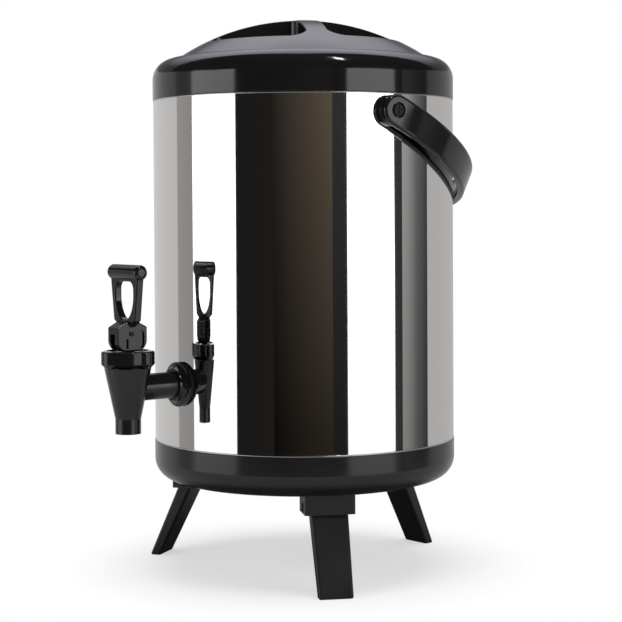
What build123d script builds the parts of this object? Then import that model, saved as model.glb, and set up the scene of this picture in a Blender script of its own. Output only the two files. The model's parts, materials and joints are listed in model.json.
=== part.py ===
from build123d import *
import math
import os

os.makedirs("parts", exist_ok=True)

# Driving dimensions, in millimetres and degrees.
# The floor is z = 0, the barrel's axis is Z and the tap points along -Y.

# Barrel, from the floor up
stand_height = 71.5       # floor to the underside of the base
base_height = 31.7
shell_height = 269.5      # the steel that shows between base and collar
collar_height = 32.6
shell_d = 240.0
shell_wall = 0.8
shell_edge_r = 0.9        # rounding where the shell necks in
neck_step = 3.6           # how far the shell's ends neck in
neck_length = 9.0         # how far they reach into base and collar
trim_proud = 0.4          # the plastic stands this far outside the steel
trim_edge_r = 0.6         # rounding of the plastic where it meets the steel
base_floor = 3.5
base_edge_r = 17.0
jacket = 24.0             # barrel's outside to the liquid vessel's inside
liner_wall = 0.8
liner_flange = 6.2        # turned-out rim of the liner
liner_corner_r = 12.0
bottom_foam = 30.0        # foam under the liner

# Collar and lid
collar_edge_r = 16.0
collar_web = 4.0          # wall under the lid's seat
collar_foot = 3.0         # rim that holds the liner's flange down
mouth_inset = 3.0         # the neck is this much narrower than the liner, each side
mouth_wall = 4.0
seat_width = 9.0          # lid seat, from the neck to the wall around it
seat_depth = 8.0
rim_edge_r = 0.8          # rounding of the seat's rim
dome_height = 31.4
lid_wall = 3.0
lid_edge_r = 1.2
lid_lift_gap = 0.8        # under the cover's skirt
pocket_d = 160.0          # circle that the finger pockets fill
pocket_floor_height = 2.1  # pocket floor over the collar's top
pocket_wall = 2.5
pocket_hub_r = 5.0        # rounding of the pockets at the hub
pocket_rim_r = 12.0       # rounding of the pockets at the rim
pocket_edge_r = 1.2       # rounding of the grip's edges
spoke_width = 16.0        # the grip between two pockets
spoke_angle = 61.0
plug_depth = 30.0         # plug's reach below the collar's top
plug_wall = 2.5
plug_flange = 2.8
seal_thickness = 2.6
seal_inset = 0.7          # seal to the neck's edge
seal_width = 4.6

# Lid thread: several starts, one full turn lifts the lid clear
thread_starts = 4
thread_lead = 32.0
ridge_height = 2.5
ridge_thickness = 3.2
ridge_root = 0.6          # how deep a ridge is rooted in its wall
collar_ridge_span = 70.0
collar_ridge_depth = 21.9  # start of the collar's ridges, below its top
lug_span = 40.0
lug_start = 15.0

# Tap
tap_height = 49.8         # tap shank over the base
tap_reach = 47.0          # spout's axis to the shell
shank_d = 20.0
tail_d = 18.0
tail_end = 4.0            # tail that shows past its nut
flow_d = 11.0
flange_d = 34.0
flange_rim = 2.2
flange_length = 7.0
flange_nose_d = 24.0
outer_gasket = 1.0
outer_gasket_d = 32.0
inner_gasket = 3.0
inner_gasket_d = 30.0
lock_nut_size = 27.0      # across flats
lock_nut_length = 7.0
spout_d = 19.2
spout_length = 11.2
cone_d = 35.2
cone_height = 38.0
cone_top_height = 15.6    # top of the cone over the shank's axis
body_neck_d = 29.0
outlet_d = 12.0
valve_seat_height = 15.4  # over the spout's straight stretch
chamber_seat_d = 17.2
chamber_d = 24.0
chamber_taper = 20.0
bonnet_d = 43.2
bonnet_core_d = 35.6
bonnet_height = 12.6
bonnet_plate = 5.2
bonnet_recess_d = 31.0
bonnet_recess = 1.0
bonnet_chamfer = 3.0
bonnet_edge_r = 1.4
lobe_d = 17.4
lobe_blend_r = 3.0
lobe_count = 3
stem_d = 5.0
stem_eye_d = 9.0
stem_eye_width = 5.6
stem_socket = 6.0         # stem's depth in the seat cup
seat_cup_d = 15.4
seat_cup_height = 10.5
seat_cup_edge_r = 1.5
spring_d = 11.0
spring_wire = 1.2
spring_turns = 6

# Tap lever
lever_pin_d = 3.6
yoke_width = 14.0
yoke_depth = 26.0
cam_height = 13.2         # lever pin over the yoke's foot
cam_r = 8.5
yoke_rise = 5.0           # yoke's straight side over the pin
yoke_shoulder = 5.0
yoke_edge_r = 1.2
relief_margin = 2.6       # rim around the hollow in each of the yoke's sides
relief_depth = 1.5
relief_corner_r = 3.0
relief_post = 7.0         # width of the post that stands in the hollow
relief_post_drop = 3.6    # post's top under the pin's axis
loop_edge_r = 1.3
loop_thickness = 6.2
loop_foot_width = 29.0
loop_top_width = 38.4
loop_height = 45.8        # bar's axis over the pin
bar_d = 11.5
bar_length = 42.0
bar_edge_r = 3.5
eye_width = 24.5          # finger hole in the loop
eye_top = 39.0            # its top, widest level and foot, over the pin
eye_waist = 29.0
eye_foot = 10.5
eye_corner_r = 6.0
pin_sink = 0.8            # pin ends below the yoke's sides

# Swing handle
pivot_drop = 13.7         # pivots below the shell's top
pivot_turn = -5.0         # right pivot's direction from +X
boss_d = 23.6
boss_length = 4.0
boss_edge_r = 1.0
spigot_d = 12.0
strap_width = 24.0
strap_thickness = 6.0     # at the pivots
strap_grip = 6.2          # at the middle
finger_room = 20.3        # barrel to the grip's inside, with the strap held level
strap_rest_gap = 1.9      # barrel to the strap's lower edge, with the strap let down
strap_edge_r = 2.5
arm_straight = 6.0        # the strap's arms run straight this far past the pivots
head_d = 10.0
head_thickness = 2.2
head_recess = 2.8
head_recess_d = 11.6
handle_screw_d = 5.0
handle_nut_size = 10.0
handle_nut_length = 4.0

# Legs
leg_angle = -28.0         # right leg's direction from +X
leg_angles = {"right": leg_angle, "left": leg_angle - 120, "back": leg_angle + 120}
block_inset = 11.4        # block's outer face inside the base's edge
block_depth = 25.0
block_width = 38.5
block_height = 13.5
block_edge_r = 1.5
leg_pin_inset = 10.9      # leg pin inside the block's outer face
leg_pin_drop = 8.5        # leg pin under the base
leg_pin_d = 5.0
knuckle_d = 11.8
leg_width = 29.0          # at the pin
foot_width = 26.0
foot_thickness = 9.0
foot_splay = 29.9         # foot's middle outside the pin
leg_edge_r = 2.0
foot_edge_r = 1.2
leg_screw_d = 2.8
leg_screw_length = 13.0
leg_screw_head_d = 5.4
leg_screw_head = 2.0
leg_screw_inset = 4.0     # screw from the block's inner end

# Fits
slip_gap = 0.1            # parts pushed together by hand
foam_gap = 0.2            # foam to the walls around it
run_gap = 0.05            # shaft in its bore, on the radius
free_gap = 0.3            # parts that move past each other
thread_gap = 0.5          # lid plug to the collar's ridges, on the radius
lid_seam = 0.4            # lid to the collar around it, on the radius

# Levels and radii that several pieces share
base_top = stand_height + base_height
base_floor_top = stand_height + base_floor
shell_top = base_top + shell_height
collar_top = shell_top + collar_height
shell_r = shell_d / 2
trim_r = shell_r + trim_proud
shell_neck_r = shell_r - neck_step
trim_bore_r = shell_neck_r + slip_gap
liner_r = shell_r - jacket
liner_out_r = liner_r + liner_wall
liner_rim_r = liner_out_r + liner_flange
liner_bottom = base_floor_top + bottom_foam
mouth_r = liner_r - mouth_inset
seat_level = collar_top - seat_depth
seat_r = mouth_r + seat_width
lid_r = seat_r - lid_seam
lid_bottom = seat_level + lid_lift_gap
lid_bore_r = lid_r - lid_wall
dome_r = (lid_r**2 + dome_height**2) / (2 * dome_height)
pocket_floor = collar_top + pocket_floor_height
plug_r = mouth_r - ridge_height - thread_gap
plug_bottom = collar_top - plug_depth
seal_bottom = seat_level + free_gap
plug_flange_bottom = seal_bottom + seal_thickness + foam_gap
plug_flange_top = plug_flange_bottom + plug_flange

tap_level = base_top + tap_height
tap_out = shell_r + tap_reach
tap_plane = Plane.XZ.offset(tap_out)
tap_axis = Axis((0, -tap_out, 0), (0, 0, 1))
cone_top = tap_level + cone_top_height
spout_top = cone_top - cone_height
spout_bottom = spout_top - spout_length
valve_seat = spout_top + valve_seat_height
flange_back = shell_r + outer_gasket
flange_front = flange_back + flange_length
lock_nut_out = liner_r - inner_gasket - slip_gap
lock_nut_in = lock_nut_out - lock_nut_length
bonnet_bottom = cone_top + free_gap
bonnet_top = bonnet_bottom + bonnet_height
cam_floor = bonnet_top - bonnet_recess
bonnet_ceiling = cam_floor - bonnet_plate
body_top = bonnet_ceiling - free_gap
lever_pin_level = cam_floor + free_gap + cam_height
seat_cup_bottom = valve_seat + free_gap
seat_cup_top = seat_cup_bottom + seat_cup_height
yoke_slot = stem_eye_width + 2 * free_gap

pivot_level = shell_top - pivot_drop
boss_face = shell_r + boss_length
arm_in = boss_face + free_gap
arm_out = arm_in + strap_thickness
strap_reach = shell_r + finger_room + strap_grip
edge_reach = strap_reach - strap_grip + strap_edge_r
edge_drop = strap_width / 2 - strap_edge_r
edge_rest = shell_r + strap_rest_gap + strap_edge_r
strap_droop = math.degrees(
    math.acos(edge_rest / math.hypot(edge_reach, edge_drop)) - math.atan2(edge_drop, edge_reach)
)
head_seat = arm_out - head_recess + free_gap
handle_nut_out = shell_r - shell_wall - foam_gap

block_bottom = stand_height - block_height
block_out = trim_r - block_inset
block_in = block_out - block_depth
leg_pin_r = block_out - leg_pin_inset
leg_pin_level = stand_height - leg_pin_drop
leg_slot = leg_width + 2 * free_gap
foot_r = leg_pin_r + foot_splay
knuckle_r = knuckle_d / 2
cheek_middle = (block_width + leg_slot) / 4


def corner(sketch, x, y):
    """The vertex of a sketch that lies nearest to a point."""
    return sketch.vertices().sort_by_distance((x, y))[0]


def radial_plane(angle):
    """Upright plane through the barrel's axis: its x runs outward at an angle, its y up."""
    turn = math.radians(angle)
    outward = (math.cos(turn), math.sin(turn), 0)
    return Plane(origin=(0, 0, 0), x_dir=outward, z_dir=(math.sin(turn), -math.cos(turn), 0))


def level_plane(angle, radius, level):
    """Level plane at a radius from the barrel's axis: its x runs outward at an angle."""
    turn = math.radians(angle)
    outward = Vector(math.cos(turn), math.sin(turn), 0)
    return Plane(origin=outward * radius + Vector(0, 0, level), x_dir=outward, z_dir=(0, 0, 1))


def pivot_plane(angle, radius=0.0):
    """Plane that faces outward along the swing handle's pivot axis: its x runs up."""
    turn = math.radians(angle)
    outward = Vector(math.cos(turn), math.sin(turn), 0)
    origin = outward * radius + Vector(0, 0, pivot_level)
    return Plane(origin=origin, x_dir=(0, 0, 1), z_dir=outward)


pivot_angles = {"right": pivot_turn, "left": pivot_turn + 180}

# Shared cutters: the space that one piece takes in several others

with BuildPart() as shell_envelope:
    with BuildSketch():
        Circle(shell_r + slip_gap)
    extrude(amount=collar_top)

with BuildPart() as liner_envelope:
    with BuildSketch():
        Circle(liner_r - slip_gap)
    extrude(amount=collar_top)

with BuildPart() as base_envelope:
    with BuildSketch(Plane.XZ) as base_outline:
        Polygon(
            (0, stand_height),
            (trim_r + slip_gap, stand_height),
            (trim_r + slip_gap, base_top),
            (0, base_top),
            align=None,
        )
        fillet(corner(base_outline, trim_r, stand_height), base_edge_r + slip_gap)
    revolve(axis=Axis.Z)

with BuildPart() as tail_tunnel:
    with BuildSketch(Plane.XZ.offset(lock_nut_out)):
        with Locations((0, tap_level)):
            Circle(tail_d / 2 + foam_gap)
    extrude(amount=flange_back - lock_nut_out)

with BuildPart() as pivot_tunnels:
    for angle in pivot_angles.values():
        with BuildSketch(pivot_plane(angle, handle_nut_out - handle_nut_length - foam_gap)):
            Circle(handle_screw_d / 2 + slip_gap)
        extrude(amount=arm_out - handle_nut_out + handle_nut_length + foam_gap)

# Barrel: steel shell, necked in at both ends

with BuildPart() as outer_shell:
    neck_in_r = shell_neck_r - shell_wall
    with BuildSketch(Plane.XZ) as shell_section:
        Polygon(
            (shell_neck_r, base_top - neck_length),
            (shell_neck_r, base_top),
            (shell_r, base_top),
            (shell_r, shell_top),
            (shell_neck_r, shell_top),
            (shell_neck_r, shell_top + neck_length),
            (neck_in_r, shell_top + neck_length),
            (neck_in_r, shell_top - shell_wall),
            (shell_r - shell_wall, shell_top - shell_wall),
            (shell_r - shell_wall, base_top + shell_wall),
            (neck_in_r, base_top + shell_wall),
            (neck_in_r, base_top - neck_length),
            align=None,
        )
        fillet(corner(shell_section, shell_r, base_top), shell_edge_r)
        fillet(corner(shell_section, shell_r, shell_top), shell_edge_r)
    revolve(axis=Axis.Z)
    add(tail_tunnel.part, mode=Mode.SUBTRACT)
    add(pivot_tunnels.part, mode=Mode.SUBTRACT)
outer_shell.part.label = "outer_shell"
export_step(outer_shell.part, "parts/outer_shell.step")

# Liquid vessel with a turned-out rim

with BuildPart() as inner_liner:
    with BuildSketch(Plane.XZ) as liner_section:
        Polygon(
            (0, liner_bottom),
            (liner_out_r, liner_bottom),
            (liner_out_r, shell_top - liner_wall),
            (liner_rim_r, shell_top - liner_wall),
            (liner_rim_r, shell_top),
            (liner_r, shell_top),
            (liner_r, liner_bottom + liner_wall),
            (0, liner_bottom + liner_wall),
            align=None,
        )
        fillet(corner(liner_section, liner_out_r, liner_bottom), liner_corner_r)
        fillet(corner(liner_section, liner_r, liner_bottom + liner_wall), liner_corner_r - liner_wall)
    revolve(axis=Axis.Z)
    add(tail_tunnel.part, mode=Mode.SUBTRACT)
inner_liner.part.label = "inner_liner"
export_step(inner_liner.part, "parts/inner_liner.step")

# Base

with BuildPart() as base_cup:
    with BuildSketch(Plane.XZ) as cup_section:
        Polygon(
            (0, stand_height),
            (trim_r, stand_height),
            (trim_r, base_top),
            (trim_bore_r, base_top),
            (trim_bore_r, base_floor_top),
            (0, base_floor_top),
            align=None,
        )
        fillet(corner(cup_section, trim_r, stand_height), base_edge_r)
        fillet(corner(cup_section, trim_r, base_top), trim_edge_r)
        fillet(corner(cup_section, trim_bore_r, base_floor_top), base_edge_r - base_floor)
    revolve(axis=Axis.Z)
    for angle in leg_angles.values():
        with BuildSketch(level_plane(angle, block_in + leg_screw_inset, stand_height)):
            with GridLocations(0, 2 * cheek_middle, 1, 2):
                Circle(leg_screw_d / 2 + slip_gap)
        extrude(amount=base_floor, mode=Mode.SUBTRACT)
base_cup.part.label = "base_cup"
export_step(base_cup.part, "parts/base_cup.step")

# Collar: skirt, shoulder, lid seat and the neck with its thread

with BuildPart() as collar_ridge:
    with BuildLine() as collar_path:
        Helix(
            pitch=thread_lead,
            height=thread_lead * collar_ridge_span / 360,
            radius=mouth_r,
            center=(0, 0, collar_top - collar_ridge_depth),
        )
    with BuildSketch(Plane(origin=collar_path.line @ 0, x_dir=(1, 0, 0), z_dir=collar_path.line % 0)):
        with Locations(((ridge_root - ridge_height) / 2, 0)):
            Rectangle(ridge_height + ridge_root, ridge_thickness)
    sweep(is_frenet=True)

with BuildPart() as top_collar:
    collar_ceiling = seat_level - collar_web
    shoulder_r = min(collar_edge_r, 0.9 * (trim_r - seat_r))
    with BuildSketch(Plane.XZ) as collar_section:
        Polygon(
            (trim_r, shell_top),
            (trim_r, collar_top),
            (seat_r, collar_top),
            (seat_r, seat_level),
            (mouth_r, seat_level),
            (mouth_r, shell_top),
            (liner_rim_r, shell_top),
            (liner_rim_r, shell_top + collar_foot),
            (mouth_r + mouth_wall, shell_top + collar_foot),
            (mouth_r + mouth_wall, collar_ceiling),
            (trim_bore_r, collar_ceiling),
            (trim_bore_r, shell_top),
            align=None,
        )
        fillet(corner(collar_section, trim_r, collar_top), shoulder_r)
        fillet(corner(collar_section, trim_r, shell_top), trim_edge_r)
        fillet(corner(collar_section, seat_r, collar_top), rim_edge_r)
        fillet(corner(collar_section, trim_bore_r, collar_ceiling), shoulder_r - collar_web)
    revolve(axis=Axis.Z)
    with PolarLocations(0, thread_starts):
        add(collar_ridge.part)
top_collar.part.label = "top_collar"
export_step(top_collar.part, "parts/top_collar.step")

# Foam: a pad in the base under the liner, and a wall between liner, shell and collar

foam_neck_r = shell_neck_r - shell_wall - foam_gap

with BuildPart() as foam_floor:
    with BuildSketch(Plane.XZ) as pad_section:
        Polygon(
            (0, base_floor_top + foam_gap),
            (foam_neck_r, base_floor_top + foam_gap),
            (foam_neck_r, liner_bottom - foam_gap),
            (0, liner_bottom - foam_gap),
            align=None,
        )
        fillet(corner(pad_section, foam_neck_r, base_floor_top), base_edge_r - base_floor)
    revolve(axis=Axis.Z)
    for angle in leg_angles.values():
        with BuildSketch(level_plane(angle, block_in + leg_screw_inset, base_floor_top)):
            with GridLocations(0, 2 * cheek_middle, 1, 2):
                Circle(leg_screw_head_d / 2 + foam_gap)
        extrude(amount=leg_screw_head + foam_gap, mode=Mode.SUBTRACT)
foam_floor.part.label = "foam_floor"
export_step(foam_floor.part, "parts/foam_floor.step")

with BuildPart() as foam_insulation:
    foam_r = shell_r - shell_wall - foam_gap
    wall_foot = max(liner_bottom, base_top + shell_wall + foam_gap)
    foam_foot = shell_top + collar_foot + foam_gap
    hollow_r = shoulder_r - collar_web
    foam_inset = trim_bore_r - foam_neck_r
    round_drop = hollow_r - math.sqrt(hollow_r**2 - (hollow_r - foam_inset) ** 2)
    foam_top = collar_ceiling - round_drop - foam_gap
    with BuildSketch(Plane.XZ):
        Polygon(
            (foam_r, wall_foot),
            (foam_r, shell_top - shell_wall - foam_gap),
            (foam_neck_r, shell_top - shell_wall - foam_gap),
            (foam_neck_r, foam_top),
            (mouth_r + mouth_wall + foam_gap, foam_top),
            (mouth_r + mouth_wall + foam_gap, foam_foot),
            (liner_rim_r + foam_gap, foam_foot),
            (liner_rim_r + foam_gap, shell_top - liner_wall - foam_gap),
            (liner_out_r + foam_gap, shell_top - liner_wall - foam_gap),
            (liner_out_r + foam_gap, wall_foot),
            align=None,
        )
    revolve(axis=Axis.Z)
    add(tail_tunnel.part, mode=Mode.SUBTRACT)
    for angle in pivot_angles.values():
        with BuildSketch(pivot_plane(angle, handle_nut_out - handle_nut_length - foam_gap)):
            RegularPolygon(handle_nut_size / 2 + foam_gap, 6, major_radius=False)
        extrude(amount=handle_nut_length + shell_wall + foam_gap, mode=Mode.SUBTRACT)
        with BuildSketch(pivot_plane(angle, handle_nut_out - 2 * handle_nut_length)):
            Circle(handle_screw_d / 2 + foam_gap)
        extrude(amount=handle_nut_length + shell_wall, mode=Mode.SUBTRACT)
foam_insulation.part.label = "foam_insulation"
export_step(foam_insulation.part, "parts/foam_insulation.step")

# Lid cover: a thin dome with four finger pockets that leave a cross-shaped grip

with BuildSketch(Plane.XY.offset(pocket_floor)) as pockets:
    Circle(pocket_d / 2)
    Rectangle(pocket_d, spoke_width, rotation=spoke_angle, mode=Mode.SUBTRACT)
    Rectangle(spoke_width, pocket_d, rotation=spoke_angle, mode=Mode.SUBTRACT)
    fillet(pockets.vertices().filter_by(lambda v: Vector(v.X, v.Y).length < spoke_width), pocket_hub_r)
    fillet(pockets.vertices().filter_by(lambda v: Vector(v.X, v.Y).length > 0.45 * pocket_d), pocket_rim_r)

with BuildSketch(Plane.XY.offset(pocket_floor - pocket_wall)) as pocket_cups:
    add(pockets.sketch_local)
    offset(amount=pocket_wall)

with BuildPart() as lid_hollow:
    inner_dome_r = dome_r - lid_wall
    dome_centre = collar_top + dome_height - dome_r
    rim_level = dome_centre + math.sqrt(inner_dome_r**2 - lid_bore_r**2)
    with BuildSketch(Plane.XZ):
        with BuildLine():
            Polyline(
                (0, dome_centre + inner_dome_r),
                (0, lid_bottom),
                (lid_bore_r, lid_bottom),
                (lid_bore_r, rim_level),
            )
            RadiusArc((lid_bore_r, rim_level), (0, dome_centre + inner_dome_r), -inner_dome_r)
        make_face()
    revolve(axis=Axis.Z)
    extrude(pocket_cups.sketch, amount=dome_height, mode=Mode.SUBTRACT)

with BuildPart() as lid_cover:
    with BuildSketch(Plane.XZ) as cover_section:
        with BuildLine():
            Polyline(
                (0, collar_top + dome_height),
                (0, lid_bottom),
                (lid_r, lid_bottom),
                (lid_r, collar_top),
            )
            RadiusArc((lid_r, collar_top), (0, collar_top + dome_height), -dome_r)
        make_face()
        fillet(corner(cover_section, lid_r, collar_top), lid_edge_r)
    revolve(axis=Axis.Z)
    add(lid_hollow.part, mode=Mode.SUBTRACT)
    extrude(pockets.sketch, amount=dome_height, mode=Mode.SUBTRACT)
    dome = lid_cover.faces().filter_by(GeomType.SPHERE).sort_by(SortBy.AREA)[-1]
    fillet([edge for wire in dome.inner_wires() for edge in wire.edges()], pocket_edge_r)
lid_cover.part.label = "lid_cover"
export_step(lid_cover.part, "parts/lid_cover.step")

# Lid plug: a cup with the thread's lugs, which lie half a pitch under the collar's ridges

with BuildPart() as plug_lug:
    thread_pitch = thread_lead / thread_starts
    lug_drop = collar_ridge_depth + thread_pitch / 2 - thread_lead * lug_start / 360
    with BuildLine() as lug_path:
        Helix(
            pitch=thread_lead,
            height=thread_lead * lug_span / 360,
            radius=plug_r,
            center=(0, 0, collar_top - lug_drop),
        )
    with BuildSketch(Plane(origin=lug_path.line @ 0, x_dir=(1, 0, 0), z_dir=lug_path.line % 0)):
        with Locations(((ridge_height - ridge_root) / 2, 0)):
            Rectangle(ridge_height + ridge_root, ridge_thickness)
    sweep(is_frenet=True)

with BuildPart() as lid_inner:
    plug_bore_r = plug_r - plug_wall
    with BuildSketch(Plane.XZ):
        Polygon(
            (0, plug_bottom),
            (plug_r, plug_bottom),
            (plug_r, plug_flange_bottom),
            (lid_bore_r - slip_gap, plug_flange_bottom),
            (lid_bore_r - slip_gap, plug_flange_top),
            (plug_bore_r, plug_flange_top),
            (plug_bore_r, plug_bottom + plug_wall),
            (0, plug_bottom + plug_wall),
            align=None,
        )
    revolve(axis=Axis.Z)
    with PolarLocations(0, thread_starts, start_angle=lug_start):
        add(plug_lug.part)
lid_inner.part.label = "lid_inner"
export_step(lid_inner.part, "parts/lid_inner.step")

with BuildPart() as lid_foam:
    with BuildSketch(Plane.XY.offset(plug_bottom + plug_wall)):
        Circle(plug_bore_r - foam_gap)
    extrude(amount=plug_flange_top - plug_bottom - plug_wall)
lid_foam.part.label = "lid_foam"
export_step(lid_foam.part, "parts/lid_foam.step")

with BuildPart() as lid_seal:
    with BuildSketch(Plane.XY.offset(seal_bottom)):
        Circle(mouth_r + seal_inset + seal_width)
        Circle(mouth_r + seal_inset, mode=Mode.SUBTRACT)
    extrude(amount=seal_thickness)
lid_seal.part.label = "lid_seal"
export_step(lid_seal.part, "parts/lid_seal.step")

# Tap body: cone, spout, shank and threaded tail in one moulding

with BuildPart() as tap_body:
    with BuildSketch(tap_plane):
        Polygon(
            (0, spout_bottom),
            (spout_d / 2, spout_bottom),
            (spout_d / 2, spout_top),
            (cone_d / 2, cone_top),
            (body_neck_d / 2, cone_top),
            (body_neck_d / 2, body_top),
            (0, body_top),
            align=None,
        )
    revolve(axis=tap_axis)
    with BuildSketch(Plane.XZ.offset(flange_front)):
        with Locations((0, tap_level)):
            Circle(shank_d / 2)
    extrude(amount=tap_out - flange_front)
    with BuildSketch(Plane.XZ.offset(lock_nut_in - tail_end)):
        with Locations((0, tap_level)):
            Circle(tail_d / 2)
    extrude(amount=flange_front - lock_nut_in + tail_end)
    with BuildSketch(tap_plane):
        Polygon(
            (0, valve_seat),
            (chamber_seat_d / 2, valve_seat),
            (chamber_d / 2, valve_seat + chamber_taper),
            (chamber_d / 2, body_top),
            (0, body_top),
            align=None,
        )
        Polygon(
            (0, spout_bottom), (outlet_d / 2, spout_bottom), (outlet_d / 2, valve_seat), (0, valve_seat),
            align=None,
        )
    revolve(axis=tap_axis, mode=Mode.SUBTRACT)
    with BuildSketch(Plane.XZ.offset(lock_nut_in - tail_end)):
        with Locations((0, tap_level)):
            Circle(flow_d / 2)
    extrude(amount=tap_out - lock_nut_in + tail_end, mode=Mode.SUBTRACT)
tap_body.part.label = "tap_body"
export_step(tap_body.part, "parts/tap_body.step")

# Tap fixing: flange and gasket outside the shell, gasket and nut inside the liner

with BuildPart() as tap_flange:
    rim_front = flange_back + flange_rim
    with BuildSketch(Plane.XY.offset(tap_level)):
        with BuildLine():
            Polyline(
                (flange_nose_d / 2, -flange_front),
                (tail_d / 2 + slip_gap, -flange_front),
                (tail_d / 2 + slip_gap, -flange_back),
                (flange_d / 2, -flange_back),
                (flange_d / 2, -rim_front),
            )
            EllipticalCenterArc(
                (flange_d / 2, -flange_front),
                (flange_d - flange_nose_d) / 2,
                flange_front - rim_front,
                start_angle=90,
                arc_size=90,
            )
        make_face()
    revolve(axis=Axis((0, 0, tap_level), (0, 1, 0)))
tap_flange.part.label = "tap_flange"
export_step(tap_flange.part, "parts/tap_flange.step")

with BuildPart() as tap_outer_gasket:
    with BuildSketch(Plane.XZ.offset(shell_r - outer_gasket_d / 4)):
        with Locations((0, tap_level)):
            Circle(outer_gasket_d / 2)
            Circle(tail_d / 2 + slip_gap, mode=Mode.SUBTRACT)
    extrude(amount=outer_gasket + outer_gasket_d / 4)
    add(shell_envelope.part, mode=Mode.SUBTRACT)
tap_outer_gasket.part.label = "tap_outer_gasket"
export_step(tap_outer_gasket.part, "parts/tap_outer_gasket.step")

with BuildPart() as tap_inner_gasket:
    with BuildSketch(Plane.XZ.offset(lock_nut_out)):
        with Locations((0, tap_level)):
            Circle(inner_gasket_d / 2)
            Circle(tail_d / 2 + slip_gap, mode=Mode.SUBTRACT)
    extrude(amount=2 * inner_gasket)
    add(liner_envelope.part, mode=Mode.INTERSECT)
tap_inner_gasket.part.label = "tap_inner_gasket"
export_step(tap_inner_gasket.part, "parts/tap_inner_gasket.step")

with BuildPart() as tap_lock_nut:
    with BuildSketch(Plane.XZ.offset(lock_nut_in)):
        with Locations((0, tap_level)):
            RegularPolygon(lock_nut_size / 2, 6, major_radius=False)
            Circle(tail_d / 2 + slip_gap, mode=Mode.SUBTRACT)
    extrude(amount=lock_nut_length)
tap_lock_nut.part.label = "tap_lock_nut"
export_step(tap_lock_nut.part, "parts/tap_lock_nut.step")

# Tap bonnet: a lobed cap with a guide bore for the stem

with BuildPart() as tap_bonnet:
    with BuildSketch(Plane((0, -tap_out, bonnet_bottom))) as bonnet_plan:
        Circle(bonnet_core_d / 2)
        with PolarLocations((bonnet_d - lobe_d) / 2, lobe_count, start_angle=-90):
            Circle(lobe_d / 2)
        fillet(bonnet_plan.vertices(), lobe_blend_r)
    extrude(amount=bonnet_height)
    chamfer(tap_bonnet.faces().sort_by(Axis.Z)[0].edges(), bonnet_chamfer)
    fillet(tap_bonnet.faces().sort_by(Axis.Z)[-1].edges(), bonnet_edge_r)
    with BuildSketch(Plane((0, -tap_out, cam_floor))):
        Circle(bonnet_recess_d / 2)
    extrude(amount=bonnet_recess, mode=Mode.SUBTRACT)
    with BuildSketch(Plane((0, -tap_out, bonnet_bottom))):
        Circle(body_neck_d / 2 + slip_gap)
    extrude(amount=bonnet_ceiling - bonnet_bottom, mode=Mode.SUBTRACT)
    with BuildSketch(Plane((0, -tap_out, bonnet_ceiling))):
        Circle(stem_d / 2 + run_gap)
    extrude(amount=bonnet_plate, mode=Mode.SUBTRACT)
tap_bonnet.part.label = "tap_bonnet"
export_step(tap_bonnet.part, "parts/tap_bonnet.step")

# Tap valve: stem, seat cup and the spring that closes it

stem_foot = seat_cup_top - stem_socket

with BuildPart() as tap_stem:
    with BuildSketch(Plane((0, -tap_out, stem_foot))):
        Circle(stem_d / 2)
    extrude(amount=lever_pin_level - stem_foot)
    with BuildSketch(Plane.YZ):
        with Locations((-tap_out, lever_pin_level)):
            Circle(stem_eye_d / 2)
    extrude(amount=stem_eye_width / 2, both=True)
    with BuildSketch(Plane.YZ):
        with Locations((-tap_out, lever_pin_level)):
            Circle(lever_pin_d / 2 + run_gap)
    extrude(amount=stem_d, both=True, mode=Mode.SUBTRACT)
tap_stem.part.label = "tap_stem"
export_step(tap_stem.part, "parts/tap_stem.step")

with BuildPart() as tap_seat_cup:
    with BuildSketch(Plane((0, -tap_out, seat_cup_bottom))):
        Circle(seat_cup_d / 2)
    extrude(amount=seat_cup_height)
    fillet(tap_seat_cup.edges(), seat_cup_edge_r)
    with BuildSketch(Plane((0, -tap_out, stem_foot))):
        Circle(stem_d / 2 + run_gap)
    extrude(amount=stem_socket, mode=Mode.SUBTRACT)
tap_seat_cup.part.label = "tap_seat_cup"
export_step(tap_seat_cup.part, "parts/tap_seat_cup.step")

with BuildPart() as tap_spring:
    coil_height = bonnet_ceiling - seat_cup_top - spring_wire - 2 * foam_gap
    with BuildLine() as coil_path:
        Helix(
            pitch=coil_height / spring_turns,
            height=coil_height,
            radius=(spring_d - spring_wire) / 2,
            center=(0, -tap_out, seat_cup_top + spring_wire / 2 + foam_gap),
        )
    with BuildSketch(Plane(origin=coil_path.line @ 0, z_dir=coil_path.line % 0)):
        Circle(spring_wire / 2)
    sweep(is_frenet=True)
tap_spring.part.label = "tap_spring"
export_step(tap_spring.part, "parts/tap_spring.step")

# Tap lever: a cam-footed yoke that straddles the stem, with a finger loop over it

lever_side = Plane(origin=(0, -tap_out, lever_pin_level), x_dir=(0, 1, 0), z_dir=(1, 0, 0))
lever_front = Plane(origin=(0, -tap_out, lever_pin_level), x_dir=(1, 0, 0), z_dir=(0, -1, 0))

with BuildPart() as lever_bar:
    with BuildSketch(lever_side):
        with Locations((0, loop_height)):
            Circle(bar_d / 2)
    extrude(amount=bar_length / 2, both=True)
    fillet(lever_bar.edges().filter_by(GeomType.CIRCLE), bar_edge_r)

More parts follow.
